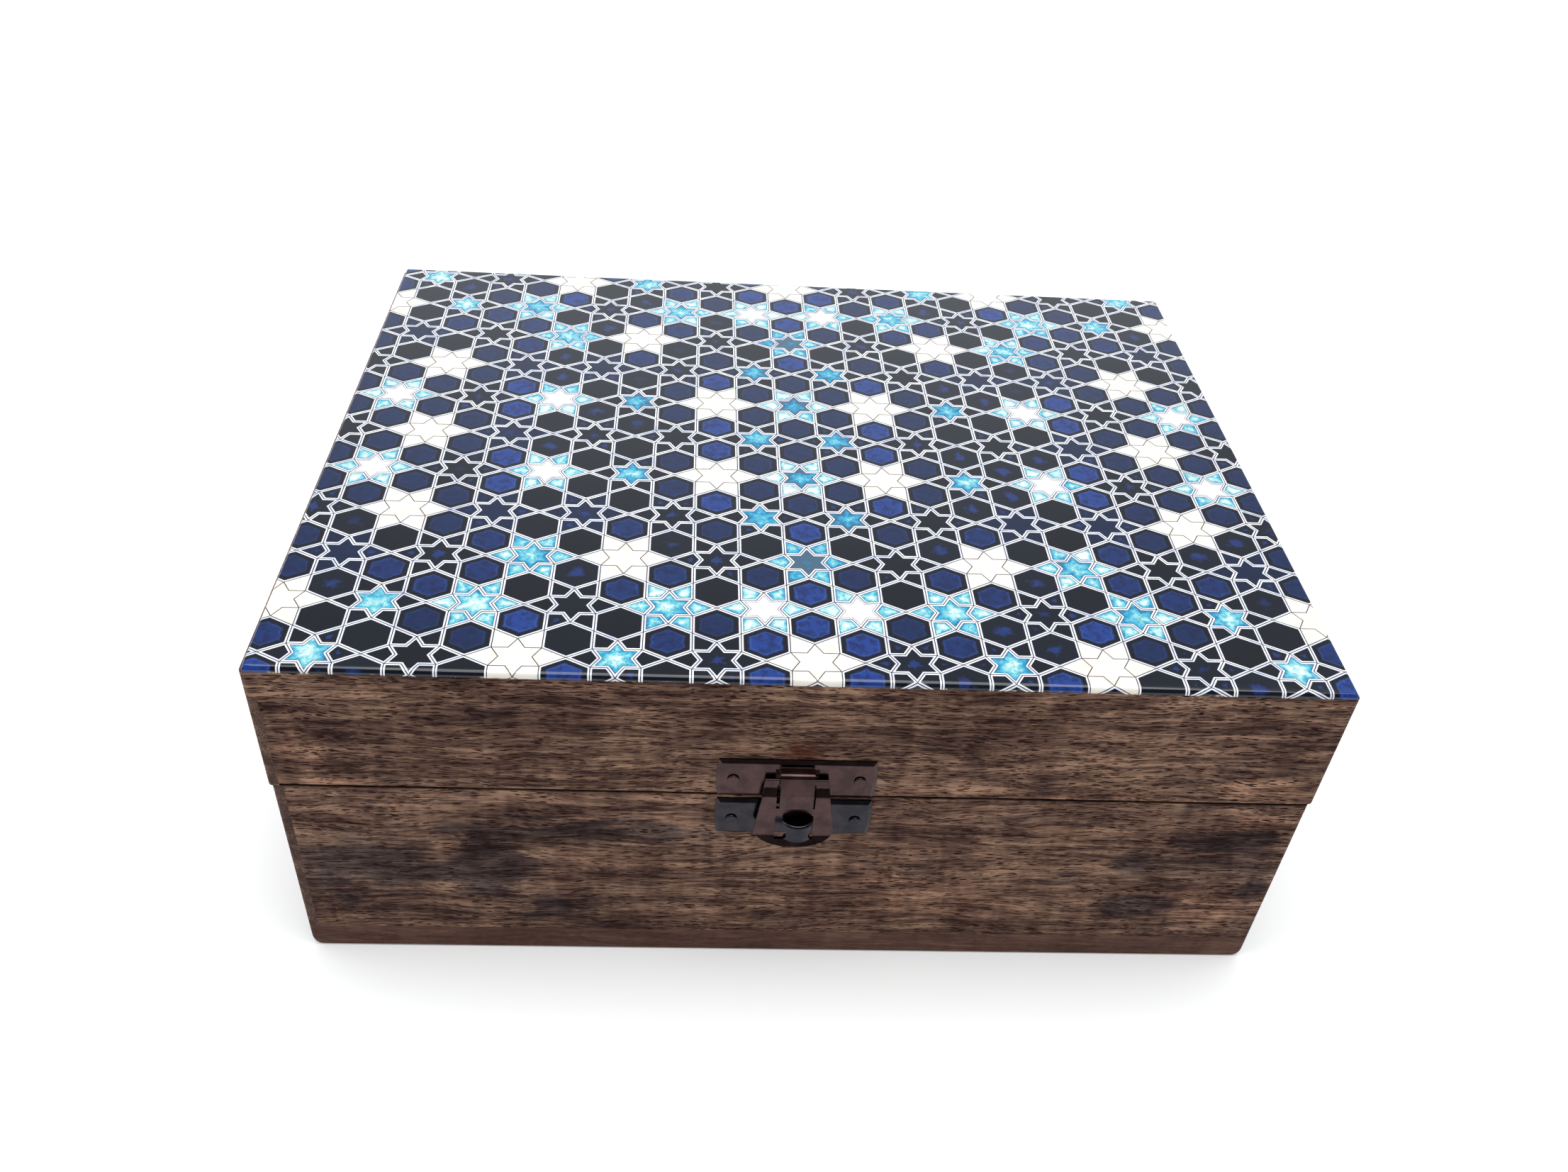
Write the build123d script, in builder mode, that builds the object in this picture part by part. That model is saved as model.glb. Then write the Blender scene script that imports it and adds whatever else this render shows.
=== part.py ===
"""A lidded wooden box with a star-patterned top under resin and a small hasp latch on its front.

Millimetres, +Z up, front towards -Y. The origin is the centre of the underside.
"""

from build123d import *
import math
import os

os.makedirs("parts", exist_ok=True)

# Box
WIDTH = 230.0  # across the lid, along X
DEPTH = 176.0  # front to back, along Y
LID_OVERHANG = 0.7  # how far the lid's left and right sides stand past the base
BOTTOM_THICKNESS = 7.6
SEAM_HEIGHT = 56.4  # where the lid's rims meet the base's
PANEL_UNDERSIDE = 82.7
PANEL_TOP = 89.4
BOARD = 8.0  # thickness of every upright board
LIP = 2.5  # what is left of a board in front of the rabbet in its lapping end
CORNER_RADIUS = 1.2
BOTTOM_RADIUS = 4.2  # under the left and right sides
BOTTOM_EDGE_RADIUS = 0.8  # under the front and back
WORN_EDGE = 0.6  # chamfer of the lid's lower front edge

# Decorated top
SHEET_THICKNESS = 0.4
RESIN_THICKNESS = 1.0
SHEET_MARGIN = 0.7  # bare wood left at the back and sides
FRONT_MARGIN = 0.1
RESIN_RADIUS = 0.9

# Hinges
HINGE_X = 70.0
HINGE_LENGTH = 24.0
AXIS_INSET = 1.5  # from the back face to the hinge axis
BARREL_RADIUS = 1.5
PIN_RADIUS = 0.6
PIN_CLEARANCE = 0.04
MORTISE_CLEARANCE = 0.2
KNUCKLE_GAP = 0.15
LEAF_THICKNESS = 0.8
LEAF_WIDTH = 5.5  # from the axis into the rim
GROOVE_ANGLE = 53.0  # each back rim falls away from the axis by this much
GROOVE_START = 0.2  # in front of the axis
HINGE_NAIL_SPACING = 14.0
HINGE_NAIL_HEAD_RADIUS = 1.1
HINGE_NAIL_HEAD_HEIGHT = 0.4
HINGE_NAIL_RADIUS = 0.6
HINGE_NAIL_LENGTH = 7.0

# Latch
LATCH_X = -1.65
PLATE_WIDTH = 34.9
PLATE_HEIGHT = 11.0
PLATE_THICKNESS = 0.8
PLATE_BEVEL = 0.85  # how far the sloped border reaches in from a plate's edge
PLATE_BEVEL_DEPTH = 0.5
PLATE_END_BULGE = 0.45
UPPER_PLATE_BOTTOM = 56.9
CATCH_PLATE_BOTTOM = 44.5
LATCH_NAIL_SPACING = 27.5
UPPER_NAIL_HEIGHT = 62.2
CATCH_NAIL_HEIGHT = 49.4
LATCH_NAIL_HEAD_RADIUS = 1.35
LATCH_NAIL_HEAD_HEIGHT = 0.5
LATCH_NAIL_HEAD_ROUNDING = 0.3
LATCH_NAIL_RADIUS = 0.6
LATCH_NAIL_LENGTH = 6.5
NAIL_HOLE_CLEARANCE = 0.05
SHEET_METAL = 0.7
STRAP_WIDTH = 7.3
STRAP_FRONT = 4.9  # in front of the box's face
STRAP_WINDOW_WIDTH = 9.4
STRAP_WINDOW_BOTTOM = 58.2
STRAP_WINDOW_TOP = 65.6
STRAP_ROOT = 66.4
STRAP_CREST = 65.9
STRAP_CREST_OUT = 3.2
STRAP_SHOULDER = 60.9  # height where the strap's face turns upright
STRAP_BOTTOM = 56.6
STRAP_ROOT_RADIUS = 0.9
STRAP_SHOULDER_RADIUS = 2.0
STRAP_CURL_RADIUS = 0.75
STRAP_TAIL = 1.8  # length of the curled end behind the strap
STRAP_CORNER_RADIUS = 1.0
HASP_AXIS_HEIGHT = 62.8
HASP_AXIS_OUT = 1.65
HASP_FRONT = 3.3
HASP_TOP_WIDTH = 13.6
HASP_WIDEST = 17.7
HASP_STEP_TOP = 61.15  # its face bends forward from here
HASP_STEP_BOTTOM = 59.1  # down to here
HASP_STEP_RADIUS = 1.2
HASP_FOLD_RADIUS = 1.5
HASP_WIDEST_HEIGHT = 48.45
HASP_FOLD_HEIGHT = 47.35  # below this the lip flares outward
HASP_BOTTOM = 44.7
HASP_CORNER_RADIUS = 2.0
HASP_FLARE = 1.7  # how far the lip's edge stands out past the face
CROSSBAR = 1.4  # height of the hasp's top strip
CROSSBAR_ROUNDING = 0.3
STRAP_SLOT_CLEARANCE = 0.6
STRAP_SLOT_BOTTOM = 55.8
NOSE_WINDOW_TOP = 53.55
NOSE_WINDOW_BOTTOM = 46.4
NOSE_WINDOW_WIDTH = 8.4
NOSE_X = LATCH_X + 0.7  # the nose stands off the middle of its window
NOSE_WIDTH = 6.5
NOSE_TOP = 52.85
NOSE_OUT = 6.2
NOSE_TIP = 48.05
NOSE_BEND_RADIUS = 0.65
NOSE_WAIST = 4.8  # its width below the bend
NOSE_WAIST_HEIGHT = 49.3
NOSE_TIP_WIDTH = 6.0
NOSE_END_SAG = 1.5  # how far the middle of its rounded end stands past the sides

TOLERANCE = 0.01

half_width = WIDTH / 2
half_depth = DEPTH / 2
base_half_width = half_width - LID_OVERHANG
axis_y = half_depth - AXIS_INSET
groove_drop = (AXIS_INSET + GROOVE_START) * math.tan(math.radians(GROOVE_ANGLE))
front = Plane.XZ.offset(half_depth)  # drawn from the front, extruding out of the front face
latch_side = Plane.YZ.offset(LATCH_X)


def out(distance):
    """The Y of a point that far in front of the front face."""
    return -half_depth - distance


def save(piece, name):
    piece.part.label = name
    export_step(piece.part, f"parts/{name}.step")


def side_board_plan(half_span, side):
    """Plan of a left (-1) or right (+1) board: one end rabbeted to lap its neighbour, the other plain.

    The left board laps the front board, and the right board laps the back one.
    """
    outer = side * half_span
    inner = side * (half_span - BOARD)
    shoulder = side * (half_span - LIP)
    lapping_end = side * half_depth
    rabbet_end = side * (half_depth - BOARD)
    with BuildLine() as outline:
        Polyline(
            (outer, lapping_end),
            (shoulder, lapping_end),
            (shoulder, rabbet_end),
            (inner, rabbet_end),
            (inner, -rabbet_end),
            (outer, -rabbet_end),
            close=True,
        )
    make_face(outline.line)


def end_board_plan(half_span, side):
    """Plan of a front (-1) or back (+1) board, lapped at one end and running to the corner at the other."""
    with Locations((-side * LIP / 2, side * (half_depth - BOARD / 2))):
        Rectangle(2 * half_span - LIP, BOARD)


def round_outer_corner(builder, half_span):
    """Rounds a board's upright edge at the corner of the box."""
    upright = builder.edges().filter_by(Axis.Z)
    corners = [
        edge
        for edge in upright
        if abs(edge.center().X) > half_span - TOLERANCE and abs(edge.center().Y) > half_depth - TOLERANCE
    ]
    fillet(corners, CORNER_RADIUS)


def hinge_nail_places(hinge_x):
    nail_y = axis_y - LEAF_WIDTH / 2 - BARREL_RADIUS / 2
    return [(hinge_x + side * HINGE_NAIL_SPACING / 2, nail_y) for side in (-1, 1)]


def cut_back_groove(up):
    """Bevels a board's rim away behind the hinge axis, so that the lid can lean back.

    up is +1 for the lid and -1 for the base: the side of the seam that is cut.
    """
    with BuildSketch(Plane.YZ) as groove:
        with BuildLine():
            Polyline(
                (axis_y - GROOVE_START, SEAM_HEIGHT),
                (half_depth, SEAM_HEIGHT + up * groove_drop),
                (half_depth, SEAM_HEIGHT),
                close=True,
            )
        make_face()
    extrude(groove.sketch, amount=half_width, both=True, mode=Mode.SUBTRACT)


def cut_hinge_room(up):
    """Cuts both hinges' leaf, barrel and nail room out of a back board's rim, above or below the seam."""
    for hinge_x in (-HINGE_X, HINGE_X):
        middle = Plane.YZ.offset(hinge_x)
        with BuildSketch(middle) as barrel_room:
            with Locations((axis_y, SEAM_HEIGHT)):
                Circle(BARREL_RADIUS + MORTISE_CLEARANCE)
        room_length = HINGE_LENGTH / 2 + MORTISE_CLEARANCE
        extrude(barrel_room.sketch, amount=room_length, both=True, mode=Mode.SUBTRACT)
        with BuildSketch(middle) as leaf_room:
            with Locations((axis_y - LEAF_WIDTH / 2, SEAM_HEIGHT + up * LEAF_THICKNESS / 2)):
                Rectangle(LEAF_WIDTH, LEAF_THICKNESS)
        extrude(leaf_room.sketch, amount=HINGE_LENGTH / 2, both=True, mode=Mode.SUBTRACT)
        with BuildSketch(Plane.XY.offset(SEAM_HEIGHT)) as nail_room:
            with Locations(*hinge_nail_places(hinge_x)):
                Circle(HINGE_NAIL_RADIUS + NAIL_HOLE_CLEARANCE)
        hole_depth = HINGE_NAIL_LENGTH + NAIL_HOLE_CLEARANCE
        extrude(nail_room.sketch, amount=up * hole_depth, mode=Mode.SUBTRACT)


def cut_latch_nail_holes(height):
    """Cuts the two latch nails' holes out of a front board and a plate on it."""
    with BuildSketch(front.offset(PLATE_THICKNESS)) as holes:
        with Locations((LATCH_X, height)):
            with GridLocations(LATCH_NAIL_SPACING, 1, 2, 1):
                Circle(LATCH_NAIL_RADIUS + NAIL_HOLE_CLEARANCE)
    hole_depth = PLATE_THICKNESS + LATCH_NAIL_LENGTH + NAIL_HOLE_CLEARANCE
    extrude(holes.sketch, amount=-hole_depth, mode=Mode.SUBTRACT)


def plate_outline(bottom):
    """A latch plate's outline: straight top and bottom, slightly bulging ends."""
    left = LATCH_X - PLATE_WIDTH / 2 + PLATE_END_BULGE
    right = LATCH_X + PLATE_WIDTH / 2 - PLATE_END_BULGE
    top = bottom + PLATE_HEIGHT
    with BuildLine() as outline:
        Line((left, bottom), (right, bottom))
        SagittaArc((right, bottom), (right, top), -PLATE_END_BULGE)
        Line((right, top), (left, top))
        SagittaArc((left, top), (left, bottom), -PLATE_END_BULGE)
    make_face(outline.line)


def bevel_plate(plate):
    """Slopes the border of a latch plate's front face."""
    face = plate.faces().sort_by(Axis.Y)[0]
    chamfer(face.edges(), length=PLATE_BEVEL, length2=PLATE_BEVEL_DEPTH, reference=face)


# Base
with BuildPart() as bottom_panel:
    with BuildSketch() as plan:
        RectangleRounded(2 * base_half_width, DEPTH, CORNER_RADIUS)
    extrude(plan.sketch, amount=BOTTOM_THICKNESS)
    with BuildSketch(Plane.XZ) as front_view:
        with Locations((0, BOTTOM_THICKNESS / 2)):
            Rectangle(2 * base_half_width, BOTTOM_THICKNESS)
        fillet(front_view.vertices().group_by(Axis.Y)[0], BOTTOM_RADIUS)
    extrude(front_view.sketch, amount=half_depth, both=True, mode=Mode.INTERSECT)
    with BuildSketch(Plane.YZ) as side_view:
        with Locations((0, BOTTOM_THICKNESS / 2)):
            Rectangle(DEPTH, BOTTOM_THICKNESS)
        fillet(side_view.vertices().group_by(Axis.Y)[0], BOTTOM_EDGE_RADIUS)
    extrude(side_view.sketch, amount=half_width, both=True, mode=Mode.INTERSECT)
save(bottom_panel, "bottom_panel")

base_board_height = SEAM_HEIGHT - BOTTOM_THICKNESS
for side_name, side in (("left", -1), ("right", 1)):
    with BuildPart() as base_side_board:
        with BuildSketch(Plane.XY.offset(BOTTOM_THICKNESS)):
            side_board_plan(base_half_width, side)
        extrude(amount=base_board_height)
        round_outer_corner(base_side_board, base_half_width)
        cut_back_groove(-1)
    save(base_side_board, f"base_{side_name}_board")

with BuildPart() as base_front_board:
    with BuildSketch(Plane.XY.offset(BOTTOM_THICKNESS)):
        end_board_plan(base_half_width, -1)
    extrude(amount=base_board_height)
    round_outer_corner(base_front_board, base_half_width)
    cut_latch_nail_holes(CATCH_NAIL_HEIGHT)
save(base_front_board, "base_front_board")

with BuildPart() as base_back_board:
    with BuildSketch(Plane.XY.offset(BOTTOM_THICKNESS)):
        end_board_plan(base_half_width, 1)
    extrude(amount=base_board_height)
    round_outer_corner(base_back_board, base_half_width)
    cut_back_groove(-1)
    cut_hinge_room(-1)
save(base_back_board, "base_back_board")

# Lid
rail_height = PANEL_UNDERSIDE - SEAM_HEIGHT
for side_name, side in (("left", -1), ("right", 1)):
    with BuildPart() as lid_side_rail:
        with BuildSketch(Plane.XY.offset(SEAM_HEIGHT)):
            side_board_plan(half_width, side)
        extrude(amount=rail_height)
        round_outer_corner(lid_side_rail, half_width)
        cut_back_groove(1)
    save(lid_side_rail, f"lid_{side_name}_rail")

with BuildPart() as lid_front_rail:
    with BuildSketch(Plane.XY.offset(SEAM_HEIGHT)):
        end_board_plan(half_width, -1)
    extrude(amount=rail_height)
    round_outer_corner(lid_front_rail, half_width)
    worn = lid_front_rail.edges().filter_by(Axis.X).group_by(Axis.Z)[0].sort_by(Axis.Y)[0]
    chamfer(worn, WORN_EDGE)
    cut_latch_nail_holes(UPPER_NAIL_HEIGHT)
save(lid_front_rail, "lid_front_rail")

with BuildPart() as lid_back_rail:
    with BuildSketch(Plane.XY.offset(SEAM_HEIGHT)):
        end_board_plan(half_width, 1)
    extrude(amount=rail_height)
    round_outer_corner(lid_back_rail, half_width)
    cut_back_groove(1)
    cut_hinge_room(1)
save(lid_back_rail, "lid_back_rail")

with BuildPart() as lid_top_panel:
    with BuildSketch(Plane.XY.offset(PANEL_UNDERSIDE)):
        RectangleRounded(WIDTH, DEPTH, CORNER_RADIUS)
    extrude(amount=PANEL_TOP - PANEL_UNDERSIDE)
save(lid_top_panel, "lid_top_panel")

# Decorated top
sheet_width = WIDTH - 2 * SHEET_MARGIN
sheet_depth = DEPTH - SHEET_MARGIN - FRONT_MARGIN
sheet_y = (FRONT_MARGIN - SHEET_MARGIN) / 2
with BuildPart() as pattern_sheet:
    with BuildSketch(Plane.XY.offset(PANEL_TOP)):
        with Locations((0, sheet_y)):
            RectangleRounded(sheet_width, sheet_depth, CORNER_RADIUS)
    extrude(amount=SHEET_THICKNESS)
save(pattern_sheet, "pattern_sheet")

with BuildPart() as resin_coat:
    with BuildSketch(Plane.XY.offset(PANEL_TOP + SHEET_THICKNESS)):
        with Locations((0, sheet_y)):
            RectangleRounded(sheet_width, sheet_depth, CORNER_RADIUS)
    extrude(amount=RESIN_THICKNESS)
    fillet(resin_coat.faces().sort_by(Axis.Z)[-1].edges(), RESIN_RADIUS)
save(resin_coat, "resin_coat")

# Latch plate on the lid: its strap is cut from the middle and curled round the hasp's crossbar
strap_middle = STRAP_FRONT - SHEET_METAL / 2
curl_start = STRAP_BOTTOM + STRAP_CURL_RADIUS + SHEET_METAL / 2
with BuildPart() as latch_strap:
    with BuildSketch(latch_side):
        with BuildLine():
            fall = FilletPolyline(
                (out(PLATE_THICKNESS / 2), STRAP_ROOT - SHEET_METAL / 2),
                (out(STRAP_CREST_OUT - SHEET_METAL / 2), STRAP_CREST - SHEET_METAL / 2),
                (out(strap_middle), STRAP_SHOULDER),
                (out(strap_middle), curl_start),
                radius=(STRAP_ROOT_RADIUS, STRAP_SHOULDER_RADIUS),
            )
            curl_end = (out(strap_middle - 2 * STRAP_CURL_RADIUS), curl_start)
            curl = TangentArc(fall @ 1, curl_end, tangent=(0, -1))
            Line(curl @ 1, curl @ 1 + (0, STRAP_TAIL))
        trace(line_width=SHEET_METAL)
    extrude(amount=STRAP_WIDTH / 2, both=True)
    with BuildSketch(front) as strap_outline:
        with Locations((LATCH_X, (STRAP_BOTTOM + STRAP_ROOT) / 2)):
            Rectangle(STRAP_WIDTH, STRAP_ROOT - STRAP_BOTTOM)
        fillet(strap_outline.vertices().group_by(Axis.Y)[0], STRAP_CORNER_RADIUS)
    extrude(amount=2 * STRAP_FRONT, mode=Mode.INTERSECT)
with BuildPart() as latch_upper_plate:
    with BuildSketch(front):
        plate_outline(UPPER_PLATE_BOTTOM)
    extrude(amount=PLATE_THICKNESS)
    bevel_plate(latch_upper_plate)
    with BuildSketch(front):
        with Locations((LATCH_X, (STRAP_WINDOW_BOTTOM + STRAP_WINDOW_TOP) / 2)):
            Rectangle(STRAP_WINDOW_WIDTH, STRAP_WINDOW_TOP - STRAP_WINDOW_BOTTOM)
    extrude(amount=PLATE_THICKNESS, mode=Mode.SUBTRACT)
    cut_latch_nail_holes(UPPER_NAIL_HEIGHT)
    add(latch_strap.part)
save(latch_upper_plate, "latch_upper_plate")

# Hasp: one strip of sheet, crossbar at the top and a lip that flares out at the bottom
hasp_middle = HASP_FRONT - SHEET_METAL / 2
hasp_top = HASP_AXIS_HEIGHT + CROSSBAR / 2
crossbar_bottom = HASP_AXIS_HEIGHT - CROSSBAR / 2
with BuildPart() as latch_hasp:
    with BuildSketch(latch_side):
        with BuildLine():
            FilletPolyline(
                (out(HASP_AXIS_OUT), hasp_top),
                (out(HASP_AXIS_OUT), HASP_STEP_TOP),
                (out(hasp_middle), HASP_STEP_BOTTOM),
                (out(hasp_middle), HASP_FOLD_HEIGHT),
                (out(hasp_middle + HASP_FLARE), HASP_BOTTOM - SHEET_METAL),
                radius=(HASP_STEP_RADIUS, HASP_STEP_RADIUS, HASP_FOLD_RADIUS),
            )
        trace(line_width=SHEET_METAL)
    extrude(amount=HASP_WIDEST / 2, both=True)
    with BuildSketch(front):
        half_top = HASP_TOP_WIDTH / 2
        half_wide = HASP_WIDEST / 2
        with BuildLine():
            Polyline(
                (LATCH_X - half_wide, HASP_WIDEST_HEIGHT),
                (LATCH_X - half_top, hasp_top),
                (LATCH_X + half_top, hasp_top),
                (LATCH_X + half_wide, HASP_WIDEST_HEIGHT),
            )
            EllipticalCenterArc(
                (LATCH_X, HASP_WIDEST_HEIGHT),
                half_wide,
                HASP_WIDEST_HEIGHT - HASP_BOTTOM,
                start_angle=180,
                arc_size=180,
            )
        outline = make_face()
        fillet(outline.vertices().group_by(Axis.Y)[-2], HASP_CORNER_RADIUS)
    extrude(amount=2 * NOSE_OUT, mode=Mode.INTERSECT)
    with BuildSketch(front):
        with Locations((LATCH_X, (crossbar_bottom + STRAP_SLOT_BOTTOM) / 2)):
            Rectangle(STRAP_WIDTH + 2 * STRAP_SLOT_CLEARANCE, crossbar_bottom - STRAP_SLOT_BOTTOM)
        with Locations((LATCH_X, (NOSE_WINDOW_BOTTOM + NOSE_WINDOW_TOP) / 2)):
            Rectangle(NOSE_WINDOW_WIDTH, NOSE_WINDOW_TOP - NOSE_WINDOW_BOTTOM)
    extrude(amount=2 * NOSE_OUT, mode=Mode.SUBTRACT)
    crossbar_edges = latch_hasp.edges().filter_by(Axis.X)
    fillet(crossbar_edges.group_by(Axis.Z)[-1], CROSSBAR_ROUNDING)
save(latch_hasp, "latch_hasp")

# Catch plate on the base: its nose stands out, then turns down in front of the hasp's window
half_nose = NOSE_WIDTH / 2
nose_side_out = NOSE_OUT - NOSE_END_SAG


def nose_plan(inset):
    """The nose seen from above: straight sides and a rounded end, drawn in by the inset."""
    half = half_nose - inset
    side_out = nose_side_out - inset
    with Locations((NOSE_X, out(side_out / 2))):
        Rectangle(NOSE_WIDTH, side_out)
    with BuildLine() as end:
        ThreePointArc(
            (NOSE_X + half, out(side_out)),
            (NOSE_X, out(NOSE_OUT - inset)),
            (NOSE_X - half, out(side_out)),
        )
        Line((NOSE_X - half, out(side_out)), (NOSE_X + half, out(side_out)))
    make_face(end.line)


with BuildPart() as catch_nose:
    with BuildSketch(Plane.XY.offset(NOSE_TIP)):
        nose_plan(0)
    extrude(amount=NOSE_TOP - NOSE_TIP)
    rounded_end = catch_nose.edges().filter_by(GeomType.CIRCLE).sort_by(Axis.Z)[-1]
    fillet(rounded_end, NOSE_BEND_RADIUS)
    with BuildSketch(Plane.XY.offset(NOSE_TIP)):
        nose_plan(SHEET_METAL)
    extrude(amount=NOSE_TOP - NOSE_TIP - SHEET_METAL, mode=Mode.SUBTRACT)
    with BuildSketch(front):
        half_waist = NOSE_WAIST / 2
        half_tip = NOSE_TIP_WIDTH / 2
        bend_height = NOSE_TOP - SHEET_METAL
        with BuildLine():
            Line((NOSE_X - half_nose, NOSE_TOP), (NOSE_X + half_nose, NOSE_TOP))
            Spline(
                (NOSE_X + half_nose, NOSE_TOP),
                (NOSE_X + half_nose, bend_height),
                (NOSE_X + half_waist, NOSE_WAIST_HEIGHT),
                (NOSE_X + half_tip, NOSE_TIP),
            )
            Line((NOSE_X + half_tip, NOSE_TIP), (NOSE_X - half_tip, NOSE_TIP))
            Spline(
                (NOSE_X - half_tip, NOSE_TIP),
                (NOSE_X - half_waist, NOSE_WAIST_HEIGHT),
                (NOSE_X - half_nose, bend_height),
                (NOSE_X - half_nose, NOSE_TOP),
            )
        make_face()
    extrude(amount=2 * NOSE_OUT, mode=Mode.INTERSECT)
with BuildPart() as latch_catch_plate:
    with BuildSketch(front):
        plate_outline(CATCH_PLATE_BOTTOM)
    extrude(amount=PLATE_THICKNESS)
    bevel_plate(latch_catch_plate)
    cut_latch_nail_holes(CATCH_NAIL_HEIGHT)
    add(catch_nose.part)
save(latch_catch_plate, "latch_catch_plate")

# Latch nails
for plate_name, nail_height in (("upper", UPPER_NAIL_HEIGHT), ("catch", CATCH_NAIL_HEIGHT)):
    with BuildPart() as latch_nails:
        with BuildSketch(front.offset(PLATE_THICKNESS)):
            with Locations((LATCH_X, nail_height)):
                with GridLocations(LATCH_NAIL_SPACING, 1, 2, 1):
                    Circle(LATCH_NAIL_HEAD_RADIUS)
        extrude(amount=LATCH_NAIL_HEAD_HEIGHT)
        fillet(latch_nails.faces().group_by(Axis.Y)[0].edges(), LATCH_NAIL_HEAD_ROUNDING)
        with BuildSketch(front.offset(PLATE_THICKNESS)):
            with Locations((LATCH_X, nail_height)):
                with GridLocations(LATCH_NAIL_SPACING, 1, 2, 1):
                    Circle(LATCH_NAIL_RADIUS)
        extrude(amount=-(PLATE_THICKNESS + LATCH_NAIL_LENGTH))
    save(latch_nails, f"latch_{plate_name}_nails")

# Hinges: the base leaf has the two outer knuckles, the lid leaf the middle one
knuckle_length = (HINGE_LENGTH - 2 * KNUCKLE_GAP) / 3
outer_knuckle_shift = knuckle_length + KNUCKLE_GAP
for hinge_name, hinge_x in (("left", -HINGE_X), ("right", HINGE_X)):
    middle = Plane.YZ.offset(hinge_x)
    for leaf_name, up, knuckle_shifts in (
        ("base", -1, (-outer_knuckle_shift, outer_knuckle_shift)),
        ("lid", 1, (0,)),
    ):
        clear_shifts = (0,) if leaf_name == "base" else (-outer_knuckle_shift, outer_knuckle_shift)
        with BuildPart() as hinge_leaf:
            with BuildSketch(middle):
                with Locations((axis_y - LEAF_WIDTH / 2, SEAM_HEIGHT + up * LEAF_THICKNESS / 2)):
                    Rectangle(LEAF_WIDTH, LEAF_THICKNESS)
            extrude(amount=HINGE_LENGTH / 2, both=True)
            for shift in clear_shifts:
                with BuildSketch(middle.offset(shift)):
                    with Locations((axis_y, SEAM_HEIGHT)):
                        Circle(BARREL_RADIUS + MORTISE_CLEARANCE)
                extrude(amount=knuckle_length / 2 + KNUCKLE_GAP, both=True, mode=Mode.SUBTRACT)
            for shift in knuckle_shifts:
                with BuildSketch(middle.offset(shift)):
                    with Locations((axis_y, SEAM_HEIGHT)):
                        Circle(BARREL_RADIUS)
                extrude(amount=knuckle_length / 2, both=True)
            with BuildSketch(middle):
                with Locations((axis_y, SEAM_HEIGHT)):
                    Circle(PIN_RADIUS + PIN_CLEARANCE)
            extrude(amount=HINGE_LENGTH / 2, both=True, mode=Mode.SUBTRACT)
            for radius, depth in (
                (HINGE_NAIL_RADIUS + NAIL_HOLE_CLEARANCE, LEAF_THICKNESS),
                (HINGE_NAIL_HEAD_RADIUS + NAIL_HOLE_CLEARANCE, HINGE_NAIL_HEAD_HEIGHT),
            ):
                with BuildSketch(Plane.XY.offset(SEAM_HEIGHT)):
                    with Locations(*hinge_nail_places(hinge_x)):
                        Circle(radius)
                extrude(amount=up * depth, mode=Mode.SUBTRACT)
        save(hinge_leaf, f"hinge_{hinge_name}_{leaf_name}_leaf")
        with BuildPart() as hinge_nails:
            for radius, depth in (
                (HINGE_NAIL_RADIUS, HINGE_NAIL_LENGTH),
                (HINGE_NAIL_HEAD_RADIUS, HINGE_NAIL_HEAD_HEIGHT),
            ):
                with BuildSketch(Plane.XY.offset(SEAM_HEIGHT)):
                    with Locations(*hinge_nail_places(hinge_x)):
                        Circle(radius)
                extrude(amount=up * depth)
        save(hinge_nails, f"hinge_{hinge_name}_{leaf_name}_nails")
    with BuildPart() as hinge_pin:
        with BuildSketch(middle):
            with Locations((axis_y, SEAM_HEIGHT)):
                Circle(PIN_RADIUS)
        extrude(amount=HINGE_LENGTH / 2, both=True)
    save(hinge_pin, f"hinge_{hinge_name}_pin")
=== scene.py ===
"""Looks of the star-patterned wooden box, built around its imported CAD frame."""

import math
import random

import bmesh
import bpy
from mathutils import Matrix, Vector


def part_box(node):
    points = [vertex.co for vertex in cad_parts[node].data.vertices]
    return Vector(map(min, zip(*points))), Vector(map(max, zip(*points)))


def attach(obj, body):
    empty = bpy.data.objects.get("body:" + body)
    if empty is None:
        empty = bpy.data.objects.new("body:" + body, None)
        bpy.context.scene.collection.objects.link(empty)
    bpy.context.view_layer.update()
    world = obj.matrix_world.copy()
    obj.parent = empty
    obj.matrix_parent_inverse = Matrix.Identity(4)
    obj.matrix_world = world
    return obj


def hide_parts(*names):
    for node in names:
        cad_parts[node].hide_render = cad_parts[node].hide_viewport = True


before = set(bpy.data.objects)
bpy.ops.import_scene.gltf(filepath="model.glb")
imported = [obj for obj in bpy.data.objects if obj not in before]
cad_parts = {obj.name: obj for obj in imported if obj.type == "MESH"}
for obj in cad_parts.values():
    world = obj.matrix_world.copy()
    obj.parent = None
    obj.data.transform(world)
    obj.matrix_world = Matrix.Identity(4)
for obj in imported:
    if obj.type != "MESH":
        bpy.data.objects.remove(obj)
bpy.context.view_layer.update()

MM = 0.001
PANEL_LOW, PANEL_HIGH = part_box("lid_top_panel")
SHEET_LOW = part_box("pattern_sheet")[0]
COAT_LOW, COAT_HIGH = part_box("resin_coat")
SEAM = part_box("lid_front_rail")[0].z
LATCH_LOW, LATCH_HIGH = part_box("latch_upper_plate")
LATCH_X = (LATCH_LOW.x + LATCH_HIGH.x) / 2
SPOT_DEPTH = 50 * MM  # a spot on the front fades out this far into the box


def linear(red, green, blue):
    """A display colour, 0 to 255, as the linear colour that a shader takes."""
    shown = [value / 255 for value in (red, green, blue)]
    return tuple(
        value / 12.92 if value < 0.04045 else ((value + 0.055) / 1.055) ** 2.4
        for value in shown
    ) + (1.0,)


# ---------------------------------------------------------------- materials


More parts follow.
